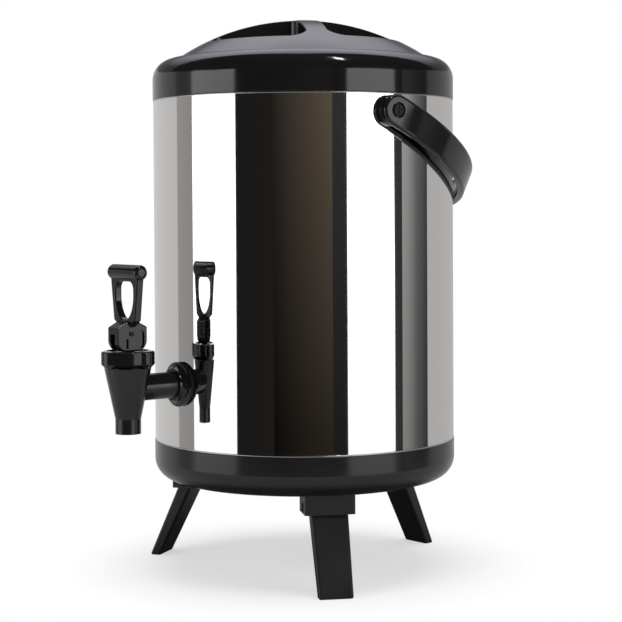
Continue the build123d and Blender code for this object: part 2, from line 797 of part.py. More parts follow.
with BuildPart() as lever_loop:
    shoulder_top = yoke_rise + yoke_shoulder
    with BuildSketch(lever_front) as loop_outline:
        Polygon(
            (-yoke_width / 2, yoke_rise),
            (yoke_width / 2, yoke_rise),
            (loop_foot_width / 2, shoulder_top),
            (loop_top_width / 2, loop_height),
            (-loop_top_width / 2, loop_height),
            (-loop_foot_width / 2, shoulder_top),
            align=None,
        )
        with BuildLine(mode=Mode.PRIVATE) as eye_line:
            EllipticalCenterArc(
                (0, eye_waist), eye_width / 2, eye_waist - eye_foot, start_angle=180, arc_size=180
            )
            Polyline(
                (eye_width / 2, eye_waist),
                (eye_width / 2, eye_top),
                (-eye_width / 2, eye_top),
                (-eye_width / 2, eye_waist),
            )
        make_face(eye_line.edges(), mode=Mode.SUBTRACT)
        eye_corners = [corner(loop_outline, side * eye_width / 2, eye_top) for side in (1, -1)]
        fillet(eye_corners, eye_corner_r)
    extrude(amount=loop_thickness / 2, both=True)
    flats = lever_loop.faces().filter_by(Axis.Y)
    fillet(flats.edges(), loop_edge_r)

with BuildPart() as tap_lever:
    relief_half = yoke_depth / 2 - relief_margin
    relief_foot = relief_margin - cam_height
    with BuildSketch(lever_side) as yoke_side:
        Polygon(
            (-yoke_depth / 2, -cam_height),
            (yoke_depth / 2, -cam_height),
            (yoke_depth / 2, yoke_rise),
            (loop_thickness / 2, shoulder_top),
            (-loop_thickness / 2, shoulder_top),
            (-yoke_depth / 2, yoke_rise),
            align=None,
        )
        fillet(yoke_side.vertices().group_by(Axis.Y)[0], cam_r)
        fillet(yoke_side.vertices().filter_by(lambda v: v.Y == yoke_rise), yoke_edge_r)
    extrude(amount=yoke_width / 2, both=True)
    fillet(tap_lever.faces().filter_by(Axis.X).edges(), yoke_edge_r)
    add(lever_loop.part)
    add(lever_bar.part)
    for side in (1, -1):
        with BuildSketch(lever_side.offset(side * (yoke_width / 2 - relief_depth))) as relief:
            Polygon(
                (-relief_half, relief_foot),
                (relief_half, relief_foot),
                (relief_half, yoke_rise - relief_margin),
                (-relief_half, yoke_rise - relief_margin),
                align=None,
            )
            fillet(relief.vertices(), relief_corner_r)
            Polygon(
                (-relief_post / 2, -cam_height),
                (relief_post / 2, -cam_height),
                (relief_post / 2, -relief_post_drop),
                (-relief_post / 2, -relief_post_drop),
                align=None,
                mode=Mode.SUBTRACT,
            )
        extrude(amount=side * relief_depth, mode=Mode.SUBTRACT)
    with BuildSketch(lever_side):
        slot_r = stem_eye_d / 2 + free_gap
        Circle(slot_r)
        Polygon(
            (slot_r, 0),
            (slot_r, -cam_height),
            (-yoke_depth / 2, -cam_height),
            (-yoke_depth / 2, 0),
            align=None,
        )
    extrude(amount=yoke_slot / 2, both=True, mode=Mode.SUBTRACT)
    with BuildSketch(lever_side):
        Circle(lever_pin_d / 2 + run_gap)
    extrude(amount=yoke_width, both=True, mode=Mode.SUBTRACT)
tap_lever.part.label = "tap_lever"
export_step(tap_lever.part, "parts/tap_lever.step")

with BuildPart() as tap_lever_pin:
    with BuildSketch(Plane.YZ):
        with Locations((-tap_out, lever_pin_level)):
            Circle(lever_pin_d / 2)
    extrude(amount=yoke_width / 2 - pin_sink, both=True)
tap_lever_pin.part.label = "tap_lever_pin"
export_step(tap_lever_pin.part, "parts/tap_lever_pin.step")

# Swing handle: bosses on the shell, with spigots that the strap turns on

for side, angle in pivot_angles.items():
    with BuildPart() as handle_boss:
        with BuildSketch(pivot_plane(angle, shell_r - boss_length)):
            Circle(boss_d / 2)
        extrude(amount=2 * boss_length)
        fillet(handle_boss.faces().sort_by_distance((0, 0, pivot_level))[-1].edges(), boss_edge_r)
        with BuildSketch(pivot_plane(angle, boss_face)):
            Circle(spigot_d / 2)
        extrude(amount=head_seat - boss_face)
        add(shell_envelope.part, mode=Mode.SUBTRACT)
        add(pivot_tunnels.part, mode=Mode.SUBTRACT)
    handle_boss.part.label = f"handle_boss_{side}"
    export_step(handle_boss.part, f"parts/handle_boss_{side}.step")

with BuildPart() as handle_screws:
    for angle in pivot_angles.values():
        with BuildSketch(pivot_plane(angle, head_seat)):
            Circle(head_d / 2)
        extrude(amount=head_thickness)
        with BuildSketch(pivot_plane(angle, handle_nut_out - handle_nut_length)):
            Circle(handle_screw_d / 2)
        extrude(amount=head_seat - handle_nut_out + handle_nut_length)
handle_screws.part.label = "handle_screws"
export_step(handle_screws.part, "parts/handle_screws.step")

with BuildPart() as handle_nuts:
    for angle in pivot_angles.values():
        with BuildSketch(pivot_plane(angle, handle_nut_out - handle_nut_length)):
            RegularPolygon(handle_nut_size / 2, 6, major_radius=False)
            Circle(handle_screw_d / 2 + slip_gap, mode=Mode.SUBTRACT)
        extrude(amount=handle_nut_length)
handle_nuts.part.label = "handle_nuts"
export_step(handle_nuts.part, "parts/handle_nuts.step")

# Swing handle's strap: half an elliptical ring, with a round end at each pivot

with BuildPart() as carry_handle:
    turn = math.radians(pivot_turn)
    droop = math.radians(strap_droop)
    along = Vector(math.cos(turn), math.sin(turn), 0)
    back = Vector(-math.sin(turn), math.cos(turn), 0)
    strap_up = back * math.sin(droop) + Vector(0, 0, math.cos(droop))
    strap_plane = Plane(origin=(0, 0, pivot_level), x_dir=along, z_dir=strap_up)
    end_plane = Plane(origin=(0, 0, pivot_level), x_dir=strap_plane.y_dir, z_dir=along)
    end_r = strap_width / 2
    spans = ((arm_out, strap_reach, Mode.ADD), (arm_in, strap_reach - strap_grip, Mode.SUBTRACT))
    with BuildSketch(strap_plane):
        for half_span, reach, mode in spans:
            with Locations((0, arm_straight)):
                Ellipse(half_span, reach - arm_straight, mode=mode)
            with Locations((0, (arm_straight - end_r) / 2)):
                Rectangle(2 * half_span, arm_straight + end_r, mode=mode)
        with Locations((0, -end_r - strap_reach)):
            Rectangle(2 * arm_out, 2 * strap_reach, mode=Mode.SUBTRACT)
    extrude(amount=end_r, both=True)
    with BuildSketch(end_plane):
        with Locations((-strap_width, 0)):
            Rectangle(2 * strap_width, 2 * strap_width)
        Circle(end_r, mode=Mode.SUBTRACT)
    extrude(amount=arm_out, both=True, mode=Mode.SUBTRACT)
    rims = carry_handle.edges().filter_by(GeomType.LINE, reverse=True)
    rims += carry_handle.edges().filter_by(Axis((0, 0, 0), strap_plane.y_dir))
    fillet(rims, strap_edge_r)
    for angle in pivot_angles.values():
        with BuildSketch(pivot_plane(angle, arm_in)):
            Circle(spigot_d / 2 + run_gap)
        extrude(amount=strap_thickness, mode=Mode.SUBTRACT)
        with BuildSketch(pivot_plane(angle, arm_out - head_recess)):
            Circle(head_recess_d / 2)
        extrude(amount=head_recess, mode=Mode.SUBTRACT)
carry_handle.part.label = "carry_handle"
export_step(carry_handle.part, "parts/carry_handle.step")

# Legs: a clevis block under the base, and a leg that folds inward about a pin

wall_face = leg_pin_r + knuckle_r + (leg_pin_level - block_bottom) / leg_pin_level * (
    foot_r + foot_thickness / 2 - leg_pin_r - knuckle_r
) + free_gap

for side, angle in leg_angles.items():
    with BuildPart() as leg_block:
        with BuildSketch(level_plane(angle, (block_in + block_out) / 2, block_bottom)):
            RectangleRounded(block_depth, block_width, block_edge_r)
        extrude(amount=block_height + base_edge_r)
        add(base_envelope.part, mode=Mode.SUBTRACT)
        slot_roof = leg_pin_level + knuckle_r + free_gap
        with BuildSketch(radial_plane(angle)):
            Polygon(
                (block_in, block_bottom),
                (wall_face, block_bottom),
                (wall_face, slot_roof),
                (block_in, slot_roof),
                align=None,
            )
        extrude(amount=leg_slot / 2, both=True, mode=Mode.SUBTRACT)
        with BuildSketch(radial_plane(angle)):
            with Locations((leg_pin_r, leg_pin_level)):
                Circle(leg_pin_d / 2 + run_gap)
        extrude(amount=block_width, both=True, mode=Mode.SUBTRACT)
        with BuildSketch(level_plane(angle, block_in + leg_screw_inset, stand_height)):
            with GridLocations(0, 2 * cheek_middle, 1, 2):
                Circle(leg_screw_d / 2 + slip_gap)
        extrude(amount=-(leg_screw_length - base_floor), mode=Mode.SUBTRACT)
    leg_block.part.label = f"leg_block_{side}"
    export_step(leg_block.part, f"parts/leg_block_{side}.step")

    with BuildPart() as leg:
        with BuildSketch(level_plane(angle, leg_pin_r, leg_pin_level)):
            Rectangle(knuckle_d, leg_width)
        with BuildSketch(level_plane(angle, foot_r, 0)):
            Rectangle(foot_thickness, foot_width)
        loft()
        fillet(leg.edges().filter_by(lambda e: abs((e % 0.5).Z) > 0.5), leg_edge_r)
        fillet(leg.faces().sort_by(Axis.Z)[0].edges(), foot_edge_r)
        with BuildSketch(radial_plane(angle)):
            with Locations((leg_pin_r, leg_pin_level)):
                Circle(knuckle_r)
        extrude(amount=leg_width / 2, both=True)
        with BuildSketch(radial_plane(angle)):
            with Locations((leg_pin_r, leg_pin_level)):
                Circle(leg_pin_d / 2 + run_gap)
        extrude(amount=leg_width, both=True, mode=Mode.SUBTRACT)
    leg.part.label = f"leg_{side}"
    export_step(leg.part, f"parts/leg_{side}.step")

with BuildPart() as leg_pins:
    for angle in leg_angles.values():
        with BuildSketch(radial_plane(angle)):
            with Locations((leg_pin_r, leg_pin_level)):
                Circle(leg_pin_d / 2)
        extrude(amount=block_width / 2 - pin_sink, both=True)
leg_pins.part.label = "leg_pins"
export_step(leg_pins.part, "parts/leg_pins.step")

with BuildPart() as leg_screws:
    for angle in leg_angles.values():
        with BuildSketch(level_plane(angle, block_in + leg_screw_inset, base_floor_top)):
            with GridLocations(0, 2 * cheek_middle, 1, 2):
                Circle(leg_screw_head_d / 2)
        extrude(amount=leg_screw_head)
        with BuildSketch(level_plane(angle, block_in + leg_screw_inset, base_floor_top)):
            with GridLocations(0, 2 * cheek_middle, 1, 2):
                Circle(leg_screw_d / 2)
        extrude(amount=-leg_screw_length)
leg_screws.part.label = "leg_screws"
export_step(leg_screws.part, "parts/leg_screws.step")
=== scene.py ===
# %% [markdown]
# # An insulated tea barrel
# The solids of the barrel come ready made, in metres, with their joints. This lesson dresses them. It
# sets up the camera, builds a small photo studio for a mirror finish, makes one material for each real
# finish, and adds the small fittings that the solids leave plain. Every piece that is added rides on one
# of the barrel's bodies.

# %% Load the solids
import json
import math

import bmesh
import bpy
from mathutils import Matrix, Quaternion, Vector


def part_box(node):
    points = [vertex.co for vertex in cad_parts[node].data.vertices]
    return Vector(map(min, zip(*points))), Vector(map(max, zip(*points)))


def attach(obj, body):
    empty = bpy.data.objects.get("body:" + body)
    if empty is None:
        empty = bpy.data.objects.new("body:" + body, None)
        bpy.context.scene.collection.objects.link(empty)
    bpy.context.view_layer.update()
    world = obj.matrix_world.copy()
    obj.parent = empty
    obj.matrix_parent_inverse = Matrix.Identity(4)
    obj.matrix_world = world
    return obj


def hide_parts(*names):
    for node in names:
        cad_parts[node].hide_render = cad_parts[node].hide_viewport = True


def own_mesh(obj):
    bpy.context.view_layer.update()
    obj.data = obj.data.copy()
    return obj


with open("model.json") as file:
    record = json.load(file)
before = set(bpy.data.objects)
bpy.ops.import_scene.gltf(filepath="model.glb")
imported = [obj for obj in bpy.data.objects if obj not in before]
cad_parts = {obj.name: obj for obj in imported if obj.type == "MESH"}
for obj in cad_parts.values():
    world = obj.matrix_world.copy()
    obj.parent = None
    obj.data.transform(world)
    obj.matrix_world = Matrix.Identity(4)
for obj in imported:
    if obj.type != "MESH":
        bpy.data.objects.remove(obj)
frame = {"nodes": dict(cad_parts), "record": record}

MM = 0.001
scene = bpy.context.scene
scene.view_settings.view_transform = "Standard"
solids = frame["nodes"]
record = frame["record"]
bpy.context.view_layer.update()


# %% [markdown]
# ## Camera
# The photograph looks at the barrel from the right of its tap, a little above the middle, through a long
# lens. Its upright edges stay almost parallel, as when a lens is shifted down. A shift alone could do
# that, but other views keep the shift, so half of it is a slight tilt here. That leaves the barrel well
# inside their frame.

# %% Camera
IMAGE_PX = 622
FOCAL_PX = 1662
HORIZON_PX = 206.5             # eye level in the picture, from its top
DISTANCE = 1.340
EYE_LEVEL = 0.288
AIM_RIGHT = 0.0059             # how far the lens points to the right of the barrel's axis
LENS_SHIFT = -0.10
ROLL = math.radians(0.3)       # the photograph leans a little
VIEW_TURN = math.radians(52)   # camera's direction, from the tap's, towards the barrel's right
toward_camera = Vector((math.sin(VIEW_TURN), -math.cos(VIEW_TURN), 0))
camera_right = Vector((math.cos(VIEW_TURN), math.sin(VIEW_TURN), 0))

lens = bpy.data.cameras.new("photo_camera")
lens.lens = lens.sensor_width * FOCAL_PX / IMAGE_PX
lens.shift_y = LENS_SHIFT
camera = bpy.data.objects.new("photo_camera", lens)
camera.location = toward_camera * DISTANCE + Vector((0, 0, EYE_LEVEL))
drop_px = IMAGE_PX * (0.5 + LENS_SHIFT) - HORIZON_PX
aim = camera_right * AIM_RIGHT + Vector((0, 0, EYE_LEVEL - DISTANCE * drop_px / FOCAL_PX))
look = (aim - camera.location).to_track_quat("-Z", "Y")
camera.rotation_euler = (look @ Quaternion((0, 0, 1), -ROLL)).to_euler()
scene.collection.objects.link(camera)
scene.camera = camera
print("lens:", round(lens.lens, 1), "mm")


# %% [markdown]
# ## Helpers for node trees
# Colours are written as the hex values that a paint chart gives. Blender works in linear light, so one
# function turns them. Another adds a node, sets its options and plugs its sockets, which keeps a material
# to a few lines.

# %% Colour and node helpers
def linear(hex_colour):
    """An sRGB hex colour as linear red, green, blue and alpha."""
    parts = [int(hex_colour[i:i + 2], 16) / 255 for i in (1, 3, 5)]
    return [c / 12.92 if c <= 0.04045 else ((c + 0.055) / 1.055) ** 2.4 for c in parts] + [1.0]


def add_node(tree, kind, sockets=None, **options):
    """A new node: options are set on it, and each socket gets a value or another node's output."""
    node = tree.nodes.new(kind)
    for name, value in options.items():
        setattr(node, name, value)
    for name, value in (sockets or {}).items():
        if isinstance(value, bpy.types.NodeSocket):
            tree.links.new(value, node.inputs[name])
        else:
            node.inputs[name].default_value = value
    return node


def empty_material(name):
    """A material with an empty node tree, and that tree."""
    material = bpy.data.materials.new(name)
    material.use_nodes = True
    material.node_tree.nodes.clear()
    return material, material.node_tree


print("mid grey in linear light:", [round(c, 3) for c in linear("#808080")])


# %% [markdown]
# ## Studio
# A mirror shows its surroundings, so the surroundings are built too. The world is white to the camera and
# in reflections, and only a dim fill as a light. The floor is a white sheet that keeps the barrel's
# shadow. Paper alone would come out grey all over, so it turns to plain white away from the barrel.

# %% World
FILL_LIGHT = 0.35              # light that the white surroundings throw on the barrel
world = bpy.data.worlds.new("white_studio")
scene.world = world
world.use_nodes = True
tree = world.node_tree
tree.nodes.clear()
path = add_node(tree, "ShaderNodeLightPath").outputs
seen = path["Is Camera Ray"]
for ray in ("Is Glossy Ray", "Is Transmission Ray"):
    seen = add_node(tree, "ShaderNodeMath", {0: seen, 1: path[ray]}, operation="MAXIMUM").outputs[0]
fill = add_node(tree, "ShaderNodeBackground", {"Color": linear("#FFFFFF"), "Strength": FILL_LIGHT})
white = add_node(tree, "ShaderNodeBackground", {"Color": linear("#FFFFFF"), "Strength": 1.0})
sky = add_node(tree, "ShaderNodeMixShader", {0: seen, 1: fill.outputs[0], 2: white.outputs[0]})
add_node(tree, "ShaderNodeOutputWorld", {"Surface": sky.outputs[0]})
print("stage: white surroundings, as a light", FILL_LIGHT)

# %% Floor
FLOOR_HALF = 6.0
PAPER_R, WHITE_R = 0.12, 0.19   # between these radii the paper turns to plain white
MIDDLE_WHITE = 0.58             # share of plain white under the barrel


def stage_sheet(name, corners, faces, material):
    """A studio sheet: a mesh that isn't part of the barrel."""
    mesh = bpy.data.meshes.new(name)
    mesh.from_pydata(corners, [], faces)
    mesh.materials.append(material)
    sheet = bpy.data.objects.new(name, mesh)
    scene.collection.objects.link(sheet)
    return sheet


floor_paper, tree = empty_material("white_floor_paper")
paper = add_node(tree, "ShaderNodeBsdfDiffuse", {"Color": linear("#F4F4F4")})
white = add_node(tree, "ShaderNodeEmission", {"Color": linear("#FFFFFF"), "Strength": 1.0})
place = add_node(tree, "ShaderNodeTexCoord").outputs["Object"]
away = add_node(tree, "ShaderNodeVectorMath", {0: place}, operation="LENGTH")
fade = add_node(tree, "ShaderNodeMapRange", {
    "Value": away.outputs["Value"], "From Min": PAPER_R, "From Max": WHITE_R,
    "To Min": MIDDLE_WHITE, "To Max": 1.0})
seen = add_node(tree, "ShaderNodeLightPath").outputs["Is Camera Ray"]
share = add_node(tree, "ShaderNodeMath", {0: fade.outputs[0], 1: seen}, operation="MULTIPLY")
sheet = add_node(tree, "ShaderNodeMixShader", {0: share.outputs[0], 1: paper.outputs[0], 2: white.outputs[0]})
add_node(tree, "ShaderNodeOutputMaterial", {"Surface": sheet.outputs[0]})

corners = [(x * FLOOR_HALF, y * FLOOR_HALF, 0) for x, y in ((-1, -1), (1, -1), (1, 1), (-1, 1))]
floor = stage_sheet("floor", corners, [(0, 1, 2, 3)], floor_paper)
floor.visible_glossy = False
print("stage: floor", 2 * FLOOR_HALF, "m across")


# %% [markdown]
# ## Cards for the mirror
# Bent cards stand around the barrel, dark in front and white at the sides, as in a product studio. They
# make the upright bands on the steel. Large lamps could do this too, but they would light the black
# plastic as well, so the cards show in reflections only. Each corner of a card carries its own light,
# which makes soft changes.

# %% Card helpers
CARD_R = 3.0
CARD_CENTRE = Vector((0, 0, 0.25))
CARD_STEP = 3                  # a card bends in steps of about so many degrees

card_light, tree = empty_material("card_light")
tone = add_node(tree, "ShaderNodeAttribute", attribute_name="light", attribute_type="GEOMETRY")
glow = add_node(tree, "ShaderNodeEmission", {"Color": tone.outputs["Color"], "Strength": 1.0})
add_node(tree, "ShaderNodeOutputMaterial", {"Surface": glow.outputs[0]})


def grey(level):
    """A light without a tint."""
    return (level, level, level)


def card_point(turn, tilt):
    """The point of the cards' ball at a turn from the camera's side, to the right, and a tilt over the
    horizon, both in degrees."""
    turn, tilt = math.radians(turn), math.radians(tilt)
    out = toward_camera * math.cos(turn) + camera_right * math.sin(turn)
    return CARD_CENTRE + CARD_R * (out * math.cos(tilt) + Vector((0, 0, math.sin(tilt))))


def shine(sheet, lights):
    """Give each corner of a sheet its light, and show the sheet in reflections only."""
    sheet.data.attributes.new("light", "FLOAT_COLOR", "POINT").data.foreach_set("color", lights)
    for way in ("camera", "diffuse", "transmission", "shadow"):
        setattr(sheet, "visible_" + way, False)


def card(name, turns, tilts, left, right, low=1.0, ramp=(-11, 14)):
    """A card bent around the barrel, between two turns and two tilts. left and right are its light at the two
    turns. low is the share of it that is left below the ramp's tilts, over which it grows to the whole."""
    steps = max(2, int((turns[1] - turns[0]) / CARD_STEP))
    rows = max(2, int((tilts[1] - tilts[0]) / CARD_STEP))
    corners, lights = [], []
    for row in range(rows + 1):
        tilt = tilts[0] + (tilts[1] - tilts[0]) * row / rows
        rise = min(max((tilt - ramp[0]) / (ramp[1] - ramp[0]), 0), 1)
        for step in range(steps + 1):
            share = step / steps
            corners.append(card_point(turns[0] + (turns[1] - turns[0]) * share, tilt))
            light = Vector(left).lerp(Vector(right), share) * (low + (1 - low) * rise)
            lights += [*light, 1.0]
    wide = steps + 1
    faces = [(r * wide + s, r * wide + s + 1, (r + 1) * wide + s + 1, (r + 1) * wide + s)
             for r in range(rows) for s in range(steps)]
    shine(stage_sheet(name, corners, faces, card_light), lights)
    print("card:", name, "faces:", len(faces))


print("cards stand", CARD_R, "m from the barrel")

# %% Cards
LOW, HIGH, TOP = -40, 14, 88   # tilts of the cards' edges
SIDE, OVER = (LOW, HIGH), (HIGH, TOP)
SOFT_SKY = (2.1, 2.06, 2.3)

card("dark_front", (-50.8, -22), SIDE, grey(0.011), (0.014, 0.013, 0.012))
card("brown_front", (-22, 21), SIDE, (0.026, 0.023, 0.020), (0.140, 0.110, 0.084), low=0.15)
card("dark_gap", (21, 32), SIDE, grey(0.042), (0.042, 0.043, 0.050), low=0.3)
card("white_left", (-90.3, -50.8), SIDE, grey(3.0), grey(3.0), low=0.4)
card("white_right", (32, 70.8), SIDE, grey(3.0), grey(3.0), low=0.4)
card("dark_edge", (70.8, 79.5), SIDE, grey(0.035), grey(0.035))
card("grey_right", (79.5, 93), SIDE, grey(0.45), grey(0.16), low=0.6)
card("dim_right", (93, 105.7), SIDE, grey(0.16), grey(0.055), low=0.6)
card("back_right", (105.7, 180), SIDE, grey(0.47), grey(0.5))
card("grey_left", (-108.8, -90.3), SIDE, grey(0.32), grey(0.28))
card("back_left", (-180, -108.8), SIDE, grey(0.68), grey(0.55))
card("dark_ceiling", (-118, 118), OVER, grey(0.015), grey(0.015))
card("back_soft", (118, 242), OVER, SOFT_SKY, SOFT_SKY, low=0.1, ramp=(26, 56))

# %% Sheet with a painted floor shadow, and a small lamp
# Painted shadow: the floor doesn't show in reflections, so this sheet's dark middle stands for the barrel's
# shadow on the floor there, and its pale rings for the lit floor around it.
SHADOW_RINGS = ((0.13, 0.04), (0.19, 0.45), (0.6, 0.6))   # radius and light: dark inside, pale around
UNDER_LEVEL = -0.004
RING_STEPS = 36
corners, lights = [], []
for radius, light in SHADOW_RINGS:
    for step in range(RING_STEPS):
        turn = 2 * math.pi * step / RING_STEPS
        corners.append((radius * math.cos(turn), radius * math.sin(turn), UNDER_LEVEL))
        lights += [*grey(light), 1.0]
faces = [tuple(range(RING_STEPS))]
for inner in range(0, RING_STEPS * (len(SHADOW_RINGS) - 1), RING_STEPS):
    outer = inner + RING_STEPS
    for step in range(RING_STEPS):
        after = (step + 1) % RING_STEPS
        faces.append((inner + step, inner + after, outer + after, outer + step))
shine(stage_sheet("painted_floor_shadow", corners, faces, card_light), lights)

SPARK = ((33, 56), (37.5, 48), (43, 58), (38.5, 66))   # turn and tilt of the lamp's four corners
SPARK_LIGHT = 30
SPARK_NEAR = 0.98              # the lamp hangs a little before the cards
corners = [CARD_CENTRE.lerp(card_point(*corner), SPARK_NEAR) for corner in SPARK]
shine(stage_sheet("small_lamp", corners, [(0, 1, 2, 3)], card_light), [*grey(SPARK_LIGHT), 1.0] * len(SPARK))
print("stage: sheet with", len(SHADOW_RINGS), "rings, and a small lamp")


# %% [markdown]
# ## Lamps
# Three large square lamps light the barrel at a plain level, one overhead and one at each side of the
# camera. Their size makes the shadow soft. They don't show in the steel, because the cards are there for
# that.

# %% Lamps
LAMP_AIM = Vector((0, 0, 0.2))


def soft_lamp(name, place, size, power):
    """A large square lamp that faces the barrel's middle and doesn't show in reflections."""
    light = bpy.data.lights.new(name, "AREA")
    light.size = size
    light.energy = power
    lamp = bpy.data.objects.new(name, light)
    lamp.location = place
    lamp.rotation_euler = (LAMP_AIM - place).to_track_quat("-Z", "Y").to_euler()
    lamp.visible_glossy = False
    scene.collection.objects.link(lamp)
    print("lamp:", name, power, "W")


soft_lamp("overhead", place=Vector((0.1, 0.1, 2.4)), size=1.6, power=34)
for side, way in (("left", -1), ("right", 1)):
    place = toward_camera * 1.4 + camera_right * 2.0 * way + Vector((0, 0, 1.2))
    soft_lamp("side_" + side, place, size=1.4, power=18)


# %% [markdown]
# ## Steel
# The shell is stainless sheet, rolled and mirror polished. The vessel inside is deep drawn and brushed,
# the leg pins and the spring are plated, and the screws are blackened. A plain metal shader would look too
# clean, so each one gets the mark of its making. Noise in millimetres draws it, because noise has no seams
# and keeps its scale.

# %% Helpers for finishes
COLOUR_A, COLOUR_B, COLOUR_OUT = 6, 7, 2   # the Mix node's sockets for colours


def principled(name, **sockets):
    """A material with one Principled shader; sockets are named with _ for a blank."""
    material, tree = empty_material(name)
    shader = add_node(tree, "ShaderNodeBsdfPrincipled",
                      {key.replace("_", " "): value for key, value in sockets.items()})
    add_node(tree, "ShaderNodeOutputMaterial", {"Surface": shader.outputs[0]})
    place = add_node(tree, "ShaderNodeTexCoord").outputs["Object"]
    return material, tree, shader, place


def stretched_noise(tree, place, cell_mm, detail=3.0):
    """Noise whose cells measure so many millimetres along x, y and z."""
    scale = [1 / (MM * cell) for cell in cell_mm]
    mapped = add_node(tree, "ShaderNodeMapping", {"Vector": place, "Scale": scale})
    noise = add_node(tree, "ShaderNodeTexNoise",
                     {"Vector": mapped.outputs[0], "Scale": 1.0, "Detail": detail})
    return noise.outputs["Fac"]


def vary_roughness(tree, shader, noise, low, high):
    """Let a noise, which stays mostly between 0.3 and 0.7, move the roughness from low to high."""
    spread = add_node(tree, "ShaderNodeMapRange",
                      {"Value": noise, "From Min": 0.3, "From Max": 0.7, "To Min": low, "To Max": high})
    tree.links.new(spread.outputs[0], shader.inputs["Roughness"])


def vary_colour(tree, shader, noise, dark, light):
    """Let a noise move the colour between two hex values."""
    tone = add_node(tree, "ShaderNodeMix", {"Factor": noise, COLOUR_A: linear(dark), COLOUR_B: linear(light)},
                    data_type="RGBA")
    tree.links.new(tone.outputs[COLOUR_OUT], shader.inputs["Base Color"])


def raise_bumps(tree, shader, noise, strength, depth_mm):
    """Let a noise raise bumps of a depth in millimetres."""
    bump = add_node(tree, "ShaderNodeBump",
                    {"Height": noise, "Strength": strength, "Distance": depth_mm * MM})
    tree.links.new(bump.outputs[0], shader.inputs["Normal"])


print("finishes are drawn by noise, in millimetres")

# %% Steel finishes
# Stainless sheet, mirror polished: clear reflections that waver a little with the sheet, and a faint polish
# grain around the barrel, coarser here than the real one to show
mirror_steel, tree, shader, place = principled(
    "stainless_mirror_polished", Metallic=1.0, Base_Color=linear("#ECEAE8"))
vary_roughness(tree, shader, stretched_noise(tree, place, (60, 60, 1.5)), 0.03, 0.045)
waver = stretched_noise(tree, place, (70, 70, 220), detail=1.0)
raise_bumps(tree, shader, waver, strength=0.12, depth_mm=0.4)

# Stainless liner, deep drawn and brushed: soft streaks that run around the barrel, coarser than real ones
brushed_steel, tree, shader, place = principled("stainless_liner_brushed", Metallic=1.0)
streaks = stretched_noise(tree, place, (150, 150, 0.7))
vary_roughness(tree, shader, streaks, 0.2, 0.34)
vary_colour(tree, shader, streaks, "#B9B8B5", "#D9D7D3")
raise_bumps(tree, shader, streaks, strength=0.15, depth_mm=0.1)

# Zinc-plated steel wire and pins: bright grey with a drawn grain, coarser than the real one
plated_steel, tree, shader, place = principled("steel_zinc_plated", Metallic=1.0)
grain = stretched_noise(tree, place, (0.8, 0.8, 4.0))
vary_roughness(tree, shader, grain, 0.22, 0.38)
vary_colour(tree, shader, grain, "#A7AAAD", "#CED0D2")

# Blackened steel: a dark, oily sheen
black_steel, tree, shader, place = principled("steel_black_oxide", Metallic=1.0, Base_Color=linear("#2A2B2D"))
vary_roughness(tree, shader, stretched_noise(tree, place, (1.5, 1.5, 1.5)), 0.28, 0.45)
print("steel finishes: 4")


# %% [markdown]
# ## Plastic, rubber and foam
# The black trim is ABS, shot into a polished mould, and the legs are nylon from a spark-eroded one, which
# gives a satin skin. The parts that touch the drink are white polypropylene and silicone, and foam fills
# the wall. A mould leaves the same three marks on all of them, so one function serves: a slow change of
# tone, a roughness that goes with it, and a skin of small bumps.

# %% Moulded finishes
BUMP_SHARE = 1 / 20            # a bump's depth as a share of its width


def moulded(name, dark, light, roughness, bump_mm, strength, shade_mm=40):
    """Plastic, rubber or foam: its tone changes over shade_mm, and its skin has bumps bump_mm wide."""
    material, tree, shader, place = principled(name)
    shade = stretched_noise(tree, place, (shade_mm,) * 3)
    vary_colour(tree, shader, shade, dark, light)
    vary_roughness(tree, shader, shade, *roughness)
    skin = stretched_noise(tree, place, (bump_mm,) * 3, detail=2.0)
    raise_bumps(tree, shader, skin, strength, bump_mm * BUMP_SHARE)
    return material


# ABS from a polished mould: deep black, glossy, with a slight orange peel
gloss_black = moulded("abs_gloss_black", "#131314", "#191919", (0.08, 0.14), 2.5, 0.10)
# The same plastic from a plainer mould, with a duller shine
soft_black = moulded("abs_soft_black", "#151516", "#1B1B1B", (0.15, 0.22), 1.2, 0.12)
# Nylon from a spark-eroded mould: charcoal black and satin, coarser here than the real 0.2 mm to show
satin_black = moulded("nylon_satin_black", "#121213", "#1A1A1B", (0.34, 0.46), 0.8, 0.35)
# Polypropylene for food: warm white and half matte
white_plastic = moulded("polypropylene_white", "#E4E2DB", "#EEECE6", (0.32, 0.42), 1.6, 0.12)
# Silicone rubber: milky, matte and slightly uneven
silicone = moulded("silicone_milky", "#CFCDC6", "#DAD8D1", (0.5, 0.62), 1.2, 0.15)
# Nitrile rubber: black and matte
black_rubber = moulded("nitrile_rubber_black", "#0F0F0F", "#171717", (0.55, 0.68), 1.2, 0.2)
# Polyurethane foam: cream coloured and full of small cells
foam = moulded("polyurethane_foam", "#D9CB9C", "#EADFB9", (0.85, 0.95), 1.5, 0.9, shade_mm=12)
print("moulded finishes: 7")


# %% [markdown]
# ## Dress the solids
# The record gives each solid a material slot, and one table turns the slots into finishes. A few solids
# share a slot but look different on the real barrel, so they have a finish of their own: the brushed
# liner, the duller base and tap body, and the lever's dark pin.

# %% Give each solid its finish
FINISHES = {
    "polished_steel": mirror_steel,
    "gloss_black": gloss_black,
    "satin_black": satin_black,
    "white_plastic": white_plastic,
    "foam": foam,
    "silicone": silicone,
    "black_rubber": black_rubber,
    "steel_hardware": plated_steel,
    "black_screws": black_steel,
}
OWN_FINISHES = {
    "inner_liner": brushed_steel,
    "base_cup": soft_black,
    "tap_body": soft_black,
    "tap_lever_pin": black_steel,
}
for row in record["subparts"]:
    finish = OWN_FINISHES.get(row["node"], FINISHES[row["material_slot"]])
    solid = solids[row["node"]].data
    solid.materials.clear()
    solid.materials.append(finish)
print("solids with a finish:", len(record["subparts"]))


